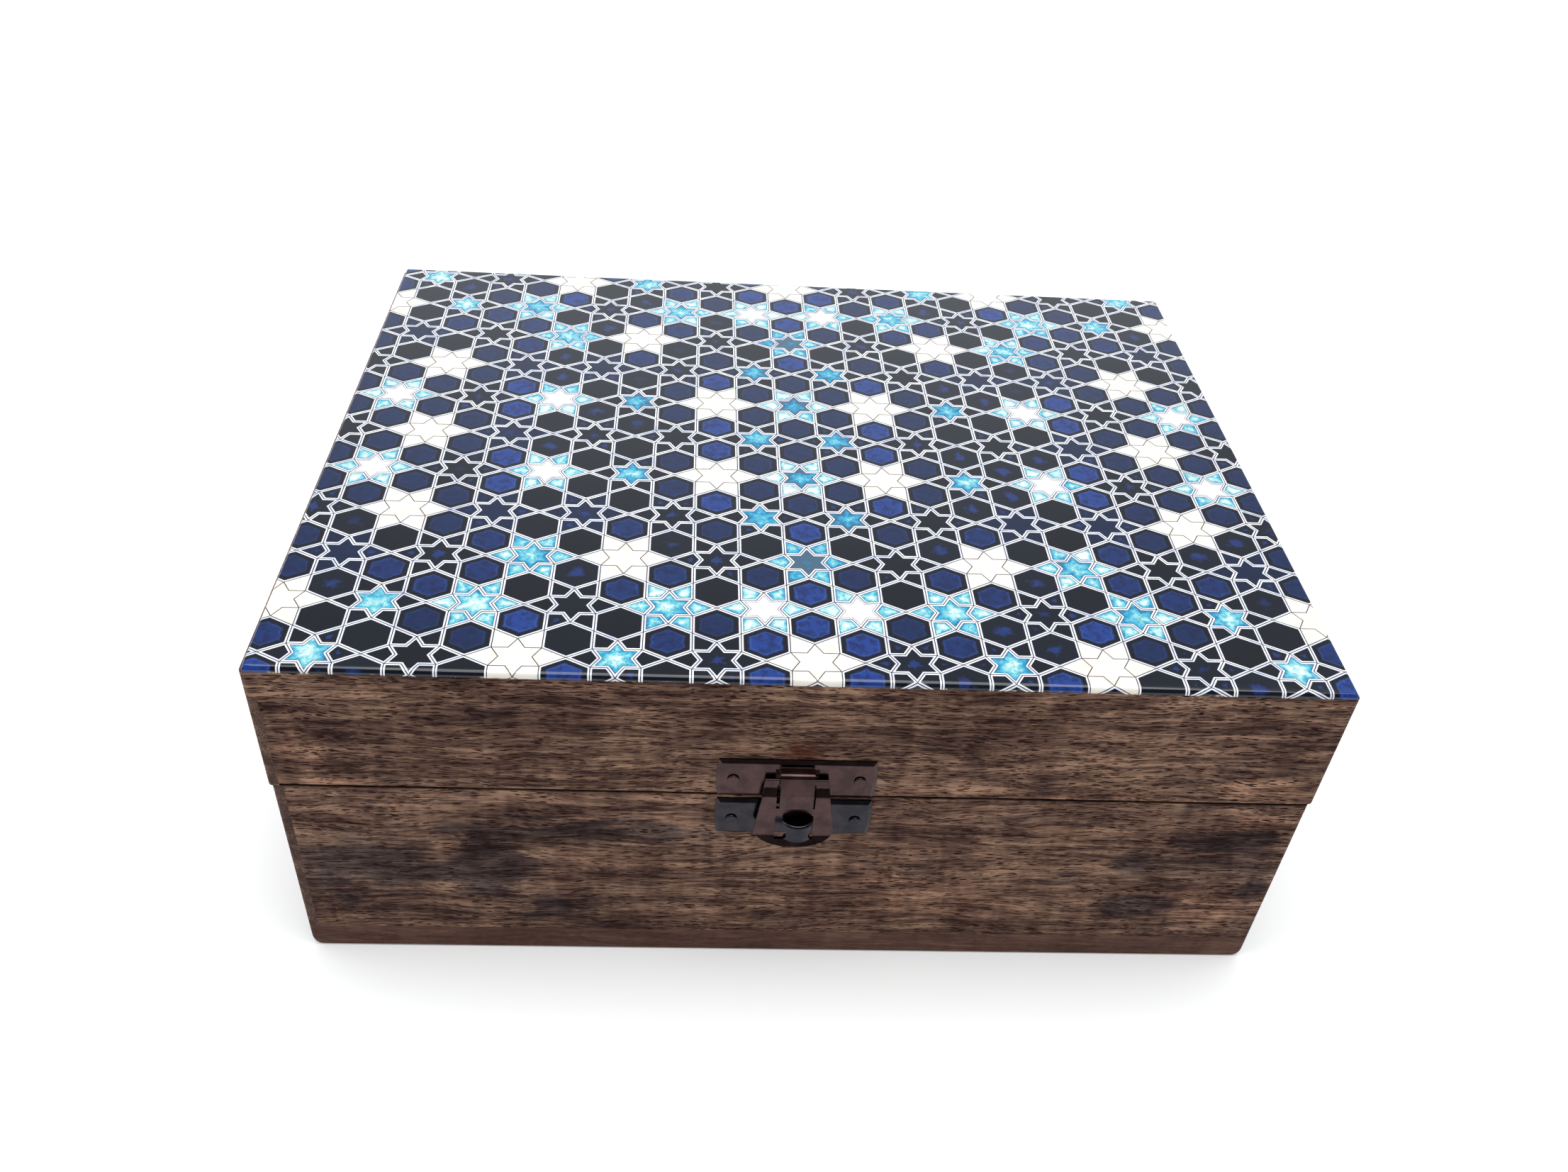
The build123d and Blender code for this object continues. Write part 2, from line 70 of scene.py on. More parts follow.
class Surface:
    """A material's node tree, with short calls for the nodes that the looks here are made of."""

    def __init__(self, name, **constants):
        self.material = bpy.data.materials.new(name)
        self.material.use_nodes = True
        self.tree = self.material.node_tree
        self.shader = self.tree.nodes["Principled BSDF"]
        for socket, value in constants.items():
            self.shader.inputs[socket.replace("_", " ")].default_value = value

    def put(self, socket, value):
        """Links a node's output to a socket, or sets the socket to a constant."""
        if isinstance(value, bpy.types.NodeSocket):
            self.tree.links.new(value, socket)
        else:
            socket.default_value = value

    def node(self, kind, values=(), **settings):
        made = self.tree.nodes.new(kind)
        for name, value in settings.items():
            setattr(made, name, value)
        for index, value in values:
            self.put(made.inputs[index], value)
        return made

    def place(self):
        """The point on the piece, in metres."""
        return self.node("ShaderNodeTexCoord").outputs["Object"]

    def facing(self):
        """The piece's own normal."""
        return self.node("ShaderNodeTexCoord").outputs["Normal"]

    def stretch(self, vector, size, shift=(0, 0, 0), turn=0.0):
        """The vector with each axis counted in sizes given in metres."""
        values = [
            ("Vector", vector),
            ("Location", shift),
            ("Rotation", (0, 0, turn)),
            ("Scale", tuple(1 / value for value in size)),
        ]
        return self.node("ShaderNodeMapping", values).outputs[0]

    def noise(self, vector, detail=2.0, roughness=0.5, distortion=0.0, colour=False):
        values = [
            ("Vector", vector),
            ("Scale", 1.0),
            ("Detail", detail),
            ("Roughness", roughness),
            ("Distortion", distortion),
        ]
        return self.node("ShaderNodeTexNoise", values).outputs["Color" if colour else "Fac"]

    def flecks(self, vector, share):
        """A share of a scatter of points, each grown to a fleck a unit long."""
        values = [("Vector", vector), ("Scale", 1.0), ("Randomness", 1.0)]
        made = self.node("ShaderNodeTexVoronoi", values)
        fleck = self.spread(made.outputs["Distance"], 0.25, 0.33, 1.0, 0.0)
        kept = self.maths("LESS_THAN", self.axis(made.outputs["Color"], "X"), share)
        return self.maths("MULTIPLY", fleck, kept)

    def drift(self, vector, size, reach):
        """The vector, swayed smoothly to and fro by up to about half the reach."""
        sway = self.noise(self.stretch(vector, size), 2.0, 0.5, colour=True)
        sway = self.vectors("SUBTRACT", sway, (0.5, 0.5, 0.5))
        return self.vectors("ADD", vector, self.vectors("MULTIPLY", sway, reach))

    def spot(self, place, centre, size, ragged):
        """How far a point of the front is from a spot's centre: about 1 at its ragged edge."""
        away = self.vectors("SUBTRACT", place, (centre[0], PANEL_LOW.y, centre[1]))
        away = self.vectors("MULTIPLY", away, (2 / size[0], 1 / SPOT_DEPTH, 2 / size[1]))
        ragged = self.maths("MULTIPLY", self.maths("SUBTRACT", ragged, 0.5), 4.0)
        return self.maths("ADD", self.vectors("LENGTH", away), ragged)

    def outside(self, place):
        """1 on the box's outer faces, fading to 0 within a millimetre or two of depth."""
        out_x = self.maths("ABSOLUTE", self.axis(place, "X"))
        out_y = self.maths("ABSOLUTE", self.axis(place, "Y"))
        from_side = self.maths("SUBTRACT", PANEL_HIGH.x, out_x)
        from_front = self.maths("SUBTRACT", PANEL_HIGH.y, out_y)
        nearest = self.maths("MINIMUM", from_side, from_front)
        return self.spread(nearest, 1.4 * MM, 2.4 * MM, 1.0, 0.0)

    def maths(self, operation, first, second=0.0, clamp=False):
        values = [(0, first), (1, second)]
        made = self.node("ShaderNodeMath", values, operation=operation, use_clamp=clamp)
        return made.outputs[0]

    def vectors(self, operation, first, second=(0, 0, 0)):
        values = [(0, first), (1, second)]
        made = self.node("ShaderNodeVectorMath", values, operation=operation)
        return made.outputs["Value" if operation in ("DISTANCE", "LENGTH", "DOT_PRODUCT") else 0]

    def axis(self, vector, name):
        return self.node("ShaderNodeSeparateXYZ", [(0, vector)]).outputs[name]

    def spread(self, value, low, high, start=0.0, end=1.0):
        """A value from low to high as one from start to end, eased and held at both."""
        values = [(0, value), (1, low), (2, high), (3, start), (4, end)]
        return self.node(
            "ShaderNodeMapRange", values, interpolation_type="SMOOTHSTEP"
        ).outputs[0]

    def ramp(self, value, *stops):
        made = self.node("ShaderNodeValToRGB", [(0, value)])
        entries = made.color_ramp.elements
        while len(entries) < len(stops):
            entries.new(0.5)
        for entry, (position, colour) in zip(entries, stops):
            entry.position = position
            entry.color = colour
        return made.outputs[0]

    def mix(self, share, first, second, blend="MIX"):
        made = self.node("ShaderNodeMix", data_type="RGBA", blend_type=blend)
        for index, value in ((0, share), (6, first), (7, second)):
            self.put(made.inputs[index], value)
        return made.outputs[2]

    def attribute(self, name):
        return self.node("ShaderNodeAttribute", attribute_name=name).outputs["Fac"]

    def colour(self, value):
        self.put(self.shader.inputs["Base Color"], value)

    def rough(self, value):
        self.put(self.shader.inputs["Roughness"], value)

    def bump(self, height, distance, strength=1.0, below=None):
        values = [("Height", height), ("Distance", distance), ("Strength", strength)]
        made = self.node("ShaderNodeBump", values)
        if below is not None:
            self.put(made.inputs["Normal"], below)
        self.put(self.shader.inputs["Normal"], made.outputs[0])
        return made.outputs[0]


WOOD_TONES = (
    (0.16, linear(54, 37, 34)),
    (0.38, linear(88, 65, 56)),
    (0.60, linear(120, 92, 77)),
    (0.86, linear(162, 128, 106)),
)
PLAIN_TONE = linear(88, 62, 55)
PORE_TONE = linear(36, 14, 11)
END_GRAIN_TONE = linear(74, 59, 55)
WORN_TONE = linear(212, 170, 136)
# painted shade: the dark band just below the lid seam, standing in for the shadow in the gap
# there
SEAM_SHADE_TONE = linear(26, 18, 18)
DARK_STAIN = (0.27, 0.33, 0.47, 1.0)  # what a stain multiplies the wood's colour by
TAN_STAIN = (1.9, 1.8, 1.7, 1.0)

# Layers of the grain: size, shift, detail, roughness, distortion and weight.
GRAIN_LAYERS = {
    "clouds": ((0.036, 0.0100, 0.0070), (5.0, 2.0, 8.0), 3.0, 0.60, 0.0, 1.1),
    "streaks": ((0.022, 0.0022, 0.0014), (0.0, 0.0, 0.0), 4.0, 0.60, 0.0, 1.3),
    "fine": ((0.0075, 0.00050, 0.00045), (0.0, 0.0, 0.0), 3.0, 0.65, 0.0, 1.0),
    "figure": ((0.0055, 0.02, 0.022), (0.0, 0.0, 0.0), 3.0, 0.60, 0.5, 0.55),
}
LONG_PORES = 0.8  # share of the long pores' points that grow to a pore
# Kinds of pore: size, shift, strength, and whether they crowd together in places.
PORES = (
    ((0.0036, 0.00052, 0.00052), (0.0, 0.0, 0.0), 1.0, True),
    ((0.0090, 0.00050, 0.00050), (4.0, 1.3, 2.2), 0.8, False),
    ((0.0024, 0.00040, 0.00040), (1.0, 2.3, 7.2), 0.55, True),
)


def grain_shade(s, fibres):
    """The light and dark of the grain, about 0 to 1, and its fine fibres alone."""
    shade = 0.5
    noises = {}
    for layer, (size, shift, detail, roughness, distortion, weight) in GRAIN_LAYERS.items():
        noises[layer] = s.noise(s.stretch(fibres, size, shift), detail, roughness, distortion)
        swing = s.maths("MULTIPLY", s.maths("SUBTRACT", noises[layer], 0.5), weight)
        shade = s.maths("ADD", shade, swing)
    return shade, noises["fine"]


def pore_dashes(s, fibres, share):
    """Short dark dashes along the fibres, where the wood's pores are cut open."""
    dashes = 0.0
    for size, shift, strength, crowded in PORES:
        kind = s.flecks(s.stretch(fibres, size, shift), share if crowded else LONG_PORES)
        dashes = s.maths("MAXIMUM", dashes, s.maths("MULTIPLY", kind, strength))
    return dashes


def stains(s, place, spots, ragged, solid, gone, strength):
    """The strength of the stains at a point. Each spot is an x, a z, a width and a height."""
    stain = 0.0
    for x, z, width, height in spots:
        away = s.spot(place, (x, z), (width, height), ragged)
        stain = s.maths("MAXIMUM", stain, s.spread(away, solid, gone, strength, 0.0))
    return stain


def wood(
    name, grain, shift, tone=1.0, pores=0.5, blotch=0.5, dark_spots=(), tan_spots=(),
    worn_edge=None, wear=0.3, seam_shade_edge=None, plain=0.0,
):
    """Dark-stained open-pored wood.

    grain is the axis that the fibres run along, and shift picks another part of the tree.
    worn_edge is the height of an edge worn bare along the outside; the other edge height marks
    where painted shade darkens the outside just below it, standing in for the shadow in the gap
    at the lid seam.
    plain, 0 to 1, takes the figure and the pores away.
    """
    s = Surface(name, Specular_IOR_Level=0.04)
    place = s.place()
    turned = s.stretch(place, (1, 1, 1), turn=math.pi / 2 if grain == "Y" else 0.0)
    along = s.vectors("ADD", turned, shift)
    fibres = s.drift(along, (0.050, 0.024, 0.018), (0.0, 0.008, 0.0080))
    fibres = s.drift(fibres, (0.007, 0.010, 0.010), (0.0, 0.0007, 0.0007))
    patches = s.noise(s.stretch(along, (0.026, 0.017, 0.012), (0.3, 5.2, 2.8)), 5.0, 0.62, 0.8)
    crowd = s.noise(s.stretch(along, (0.020, 0.010, 0.010), (3.1, 0.7, 1.9)), 2.0, 0.5)
    shade, fine = grain_shade(s, fibres)
    dashes = pore_dashes(s, fibres, s.spread(crowd, 0.40, 0.58, pores - 0.15, pores + 0.45))

    colour = s.ramp(shade, *WOOD_TONES)
    dark = stains(s, place, dark_spots, patches, 0.5, 1.25, 0.85)
    dark = s.maths("MAXIMUM", dark, s.spread(patches, 0.53, 0.66, 0.0, blotch))
    colour = s.mix(dark, colour, DARK_STAIN, "MULTIPLY")
    tan = stains(s, place, tan_spots, patches, 0.2, 1.2, 0.55)
    colour = s.mix(tan, colour, TAN_STAIN, "MULTIPLY")
    colour = s.mix(plain, colour, PLAIN_TONE)
    colour = s.mix(s.maths("MULTIPLY", dashes, 1.0 - plain), colour, PORE_TONE)

    level = s.axis(place, "Z")
    outside = s.outside(place)
    if worn_edge is not None:
        line = s.spread(s.maths("SUBTRACT", level, worn_edge), 0.2 * MM, 0.8 * MM, wear, 0.0)
        line = s.maths("MULTIPLY", line, outside)
        bare = s.maths("ADD", s.spread(crowd, 0.36, 0.50, 0.35, 1.0), tan, clamp=True)
        colour = s.mix(s.maths("MULTIPLY", line, bare), colour, WORN_TONE)
    # Painted shade: the outside is darkened just below the given height, standing in for the
    # shadow in the seam gap.
    if seam_shade_edge is not None:
        line = s.spread(s.maths("SUBTRACT", seam_shade_edge, level), 0.0, 0.4 * MM, 0.8, 0.0)
        colour = s.mix(s.maths("MULTIPLY", line, outside), colour, SEAM_SHADE_TONE)
    cut = s.vectors("ABSOLUTE", s.facing())
    end = s.spread(s.axis(cut, grain), 0.6, 0.9, 0.0, 0.62)
    colour = s.mix(end, colour, END_GRAIN_TONE)
    s.colour(s.mix(1.0, colour, (tone, tone, tone, 1.0), "MULTIPLY"))

    dull = s.maths("MULTIPLY", s.maths("SUBTRACT", 1.0, shade), 0.30)
    s.rough(s.maths("ADD", s.maths("ADD", dull, 0.42), s.maths("MULTIPLY", dashes, 0.2)))
    s.bump(s.maths("SUBTRACT", s.maths("MULTIPLY", fine, 0.5), dashes), 0.18 * MM, 0.6)
    return s


def metal(name, colour, tint, roughness):
    """Lacquered dark metal with faint mottling and fine scratches."""
    s = Surface(name, Metallic=1.0, Coat_Weight=0.0)
    place = s.place()
    cloud = s.noise(s.stretch(place, (0.004, 0.004, 0.004)), 4.0, 0.6)
    grit = s.noise(s.stretch(place, (0.0003, 0.0003, 0.0003)), 2.0, 0.6)
    s.colour(s.mix(s.spread(cloud, 0.35, 0.65), linear(*colour), linear(*tint)))
    scratch = s.noise(s.stretch(place, (0.00025, 0.004, 0.003)), 2.0, 0.5)
    scratch = s.spread(scratch, 0.62, 0.72, 0.0, 0.12)
    s.rough(s.maths("ADD", s.spread(cloud, 0.3, 0.7, roughness, roughness + 0.07), scratch))
    s.bump(s.maths("ADD", cloud, s.maths("MULTIPLY", grit, 0.05)), 0.00004, 0.5)
    return s.material


# ---------------------------------------------------------------- the star pattern

SPACING = 20.54 * MM  # between star centres along a row
SQUEEZE = 0.9336  # the printed lattice is this much shorter front to back
ROW = SPACING * math.sqrt(3) / 2 * SQUEEZE
STAR_TIP = SPACING / math.sqrt(12)
STAR_NOTCH = SPACING / 6
KITE_TIP = SPACING / 2
HEXAGON = SPACING / math.sqrt(12)
HEXAGON_AWAY = 2 * ROW / 3

SEAM_HALF = 0.11 * MM  # half of the dark line between two tiles
STRAP = 0.34 * MM  # width of the white line round a tile
RIM = 0.12 * MM  # dark edge inside a strap

# Star kinds by row from the centre line and by column from the middle, mirrored both ways:
# i ivory, w white with turquoise kites, t turquoise, b blue centre, c cyan centre, d dark,
# n navy, g grey-blue with turquoise kites, l pale blue with turquoise kites.
STARS = ("bddnid", "libwdw", "bdnnid", "gditdn", "wtdtci", "idcidc", "dddddd")
# Hexagons beside each star, on its side away from the centre line and on its side towards it:
# B bright cobalt, M medium, N navy, K black.
AWAY = ("NNKBNN", "NBKKNN", "KKKMKN", "BKMKMK", "BMKNKM", "KKKKKK", "KKKKKK")
TOWARDS = ("NNKBNN", "NBKKNN", "NNKBNN", "BNMKNK", "NMKMMN", "BNKBNK", "BKBKKB")

BLUE_LEVEL = {"B": 1.0, "M": 0.62, "N": 0.3, "K": 0.0}
# star class and level, kite class and level
KINDS = {
    "i": ("ivory", 1.0, "ivory", 1.0),
    "w": ("turquoise", 1.0, "turquoise", 0.37),
    "t": ("turquoise", 0.20, "turquoise", 0.31),
    "b": ("turquoise", 0.05, "dark", 0.0),
    "c": ("turquoise", 0.26, "dark", 0.0),
    "d": ("dark", 0.0, "dark", 0.0),
    "n": ("dark", 1.0, "dark", 0.8),
    "g": ("turquoise", -0.34, "turquoise", 0.14),
    "l": ("turquoise", 0.00, "turquoise", 0.45),
}
CLASSES = ("outlines", "straps", "dark", "blue", "turquoise", "ivory")

PRINT_TURN = 0.0109  # the printed sheet lies slightly askew on the panel
PRINT_SHIFT = Vector((-0.24 * MM, 0.97 * MM, 0.0))
FRONT_RADIUS = 1.25 * MM  # of the resin's front edge
SIDE_RADIUS = 0.6 * MM  # of its other edges
COAT_THICKNESS = COAT_HIGH.z - SHEET_LOW.z
BEND_STRIPS = 9  # flat strips that make up a rounded edge
FILM = 0.12 * MM  # how far the print stands off the slab under it


def ring(radius, angles):
    """Points at those angles in degrees, squeezed front to back."""
    return [
        Vector((radius * math.cos(math.radians(a)), SQUEEZE * radius * math.sin(math.radians(a))))
        for a in angles
    ]


def inset(points, distance):
    """A closed outline, counter-clockwise, moved inwards with its corners kept sharp."""
    moved = []
    for index, point in enumerate(points):
        before = (point - points[index - 1]).normalized()
        after = (points[(index + 1) % len(points)] - point).normalized()
        first = Vector((-before.y, before.x))
        second = Vector((-after.y, after.x))
        moved.append(point + (first + second) * (distance / (1 + first.dot(second))))
    return moved


def middle(points):
    return sum(points, Vector((0, 0))) / len(points)


class Tiles:
    """One mesh for each class of printed tile, built flat and then laid over the panel."""

    def __init__(self):
        self.meshes = {name: bmesh.new() for name in CLASSES}
        self.layers = {
            name: {
                key: mesh.verts.layers.float.new(key) for key in ("glow", "level", "seed")
            }
            for name, mesh in self.meshes.items()
        }

    def corner(self, name, point, glow, level, seed):
        made = self.meshes[name].verts.new((point.x, point.y, 0))
        layers = self.layers[name]
        made[layers["glow"]] = glow
        made[layers["level"]] = level
        made[layers["seed"]] = seed
        return made

    def band(self, name, outer, inner, level, seed):
        rows = [[self.corner(name, p, 0, level, seed) for p in loop] for loop in (outer, inner)]
        for index in range(len(outer)):
            ahead = (index + 1) % len(outer)
            corners = (rows[0][index], rows[0][ahead], rows[1][ahead], rows[1][index])
            self.meshes[name].faces.new(corners)

    def fill(self, name, outline, level, seed):
        """The tile's body, with glow rising from its edge to its middle."""
        centre = middle(outline)
        rows = [
            [self.corner(name, p.lerp(centre, share), glow, level, seed) for p in outline]
            for share, glow in ((0.0, 0.0), (0.34, 0.5))
        ]
        hub = self.corner(name, centre, 1.0, level, seed)
        for index in range(len(outline)):
            ahead = (index + 1) % len(outline)
            corners = (rows[0][index], rows[0][ahead], rows[1][ahead], rows[1][index])
            self.meshes[name].faces.new(corners)
            self.meshes[name].faces.new((rows[1][index], rows[1][ahead], hub))

    def tile(self, name, outline, level, seed):
        if name == "ivory":
            body = inset(outline, SEAM_HALF)
            self.band("outlines", outline, body, 1.0, seed)
            self.fill(name, body, level, seed)
            return
        strap = inset(outline, SEAM_HALF)
        rim = inset(outline, SEAM_HALF + STRAP)
        body = inset(outline, SEAM_HALF + STRAP + RIM)
        self.band("outlines", outline, strap, 0.0, seed)
        self.band("straps", strap, rim, 0.0, seed)
        self.band("outlines", rim, body, 0.5, seed)
        self.fill(name, body, level, seed)


def star_tiles(tiles, centre, kind, draw):
    star_class, star_level, kite_class, kite_level = KINDS[kind]
    angles = range(0, 360, 30)
    outline = [
        ring(STAR_NOTCH if angle % 60 == 0 else STAR_TIP, [angle])[0] + centre for angle in angles
    ]
    tiles.tile(star_class, outline, star_level, draw.random())
    for angle in range(0, 360, 60):
        kite = [
            ring(STAR_NOTCH, [angle])[0],
            ring(STAR_TIP, [angle - 30])[0],
            ring(KITE_TIP, [angle])[0],
            ring(STAR_TIP, [angle + 30])[0],
        ]
        tiles.tile(kite_class, [p + centre for p in kite], kite_level, draw.random())


def hexagon_tile(tiles, centre, letter, draw):
    outline = [p + centre for p in ring(HEXAGON, range(30, 390, 60))]
    level = BLUE_LEVEL[letter]
    tiles.tile("blue" if level else "dark", outline, level, draw.random())


def lay_tiles():
    """Every star, kite and hexagon of the panel, mirrored about both centre lines."""
    draw = random.Random(7)
    tiles = Tiles()
    for row in range(-6, 7):
        step = abs(row)
        offset = 0.5 if step % 2 == 0 else 0.0
        for column in range(-7, 8):
            place = column + offset
            index = int(abs(place))
            centre = Vector((place * SPACING, row * ROW))
            if abs(place) > 6.2:
                continue
            kind = STARS[step][index] if index < 6 else "d"
            star_tiles(tiles, centre, kind, draw)
            away = 1 if row > 0 else -1
            index = min(index, 5)
            out = Vector((0, away * HEXAGON_AWAY))
            hexagon_tile(tiles, centre + out, AWAY[step][index], draw)
            inner = AWAY if row == 0 else TOWARDS
            hexagon_tile(tiles, centre - out, inner[step][index], draw)
    return tiles


def bend(distance, half, radius):
    """How far out and how far down a flat distance from the middle lands on a rounded panel."""
    size = abs(distance)
    past = size - (half - radius)
    if past <= 0:
        return distance, 0.0
    quarter = radius * math.pi / 2
    if past < quarter:
        angle = past / radius
        out = half - radius + radius * math.sin(angle)
        down = radius * (1 - math.cos(angle))
    else:
        out = half
        down = radius + past - quarter
    return math.copysign(out, distance), down


HALF_WIDTH = (COAT_HIGH.x - COAT_LOW.x) / 2
HALF_DEPTH = (COAT_HIGH.y - COAT_LOW.y) / 2
MIDDLE_Y = (COAT_HIGH.y + COAT_LOW.y) / 2


def flat_reach(half, radius):
    """How far the flat print goes from the middle to end at the foot of the panel's edge."""
    return half - radius + radius * math.pi / 2 + COAT_THICKNESS - radius


def lie(point):
    """A flat point laid on the panel."""
    x, down_x = bend(point.x, HALF_WIDTH, SIDE_RADIUS)
    radius = FRONT_RADIUS if point.y < MIDDLE_Y else SIDE_RADIUS
    y, down_y = bend(point.y - MIDDLE_Y, HALF_DEPTH, radius)
    down = min(down_x + down_y, COAT_THICKNESS)
    return Vector((x, y + MIDDLE_Y, COAT_HIGH.z - down))


def set_crooked(mesh):
    """Turns and shifts the flat print as it lies on the panel, a little out of true."""
    turn = Matrix.Translation(PRINT_SHIFT) @ Matrix.Rotation(PRINT_TURN, 4, "Z")
    bmesh.ops.transform(mesh, matrix=turn, verts=mesh.verts[:])


def trim_and_lay(mesh):
    """Cuts the flat mesh to the panel, cuts it into strips where it bends, and lays it."""
    edges = (  # outward direction, the panel's middle and half along it, and its radius
        ((1, 0, 0), 0.0, HALF_WIDTH, SIDE_RADIUS),
        ((-1, 0, 0), 0.0, HALF_WIDTH, SIDE_RADIUS),
        ((0, -1, 0), -MIDDLE_Y, HALF_DEPTH, FRONT_RADIUS),
        ((0, 1, 0), MIDDLE_Y, HALF_DEPTH, SIDE_RADIUS),
    )
    for way, centre, half, radius in edges:
        way = Vector(way)
        reach = centre + flat_reach(half, radius)
        everything = mesh.verts[:] + mesh.edges[:] + mesh.faces[:]
        bmesh.ops.bisect_plane(
            mesh, geom=everything, dist=1e-7, plane_co=way * reach, plane_no=way, clear_outer=True
        )
        for strip in range(BEND_STRIPS + 1):
            cut = centre + half - radius + radius * math.pi / 2 * strip / BEND_STRIPS
            everything = mesh.verts[:] + mesh.edges[:] + mesh.faces[:]
            bmesh.ops.bisect_plane(
                mesh, geom=everything, dist=1e-7, plane_co=way * cut, plane_no=way
            )
    for vertex in mesh.verts:
        vertex.co = lie(vertex.co)


def finish_mesh(mesh, name, material):
    """The bmesh as a smoothly shaded object in the scene."""
    data = bpy.data.meshes.new(name)
    mesh.to_mesh(data)
    mesh.free()
    for polygon in data.polygons:
        polygon.use_smooth = True
    data.set_sharp_from_angle(angle=math.radians(35))
    data.materials.append(material)
    made = bpy.data.objects.new(name, data)
    bpy.context.scene.collection.objects.link(made)
    return made


def print_surface(name, **constants):
    """A printed colour under clear resin: no gloss of its own, and a smooth coat."""
    return Surface(
        name,
        Specular_IOR_Level=0.0,
        Roughness=0.6,
        Coat_Weight=1.0,
        Coat_Roughness=0.03,
        Coat_IOR=1.5,
        **constants,
    )


def chipped(s, colour):
    """Cream and golden chips along the foot of the resin's front edge."""
    place = s.place()
    low = s.spread(s.axis(place, "Z"), SHEET_LOW.z + 0.1 * MM, SHEET_LOW.z + 0.5 * MM, 1.0, 0.0)
    front = s.spread(s.axis(place, "Y"), COAT_LOW.y + 0.2 * MM, COAT_LOW.y + 0.6 * MM, 1.0, 0.0)
    spots = s.noise(s.stretch(place, (0.0045, 0.0045, 0.0012)), 4.0, 0.65)
    spots = s.spread(spots, 0.60, 0.64)
    share = s.maths("MULTIPLY", s.maths("MULTIPLY", low, front), spots)
    gold = s.ramp(
        s.noise(s.stretch(place, (0.003, 0.003, 0.003), (4, 1, 2)), 2.0),
        (0.40, linear(214, 170, 96)),
        (0.56, linear(240, 228, 205)),
    )
    return s.mix(share, colour, gold)


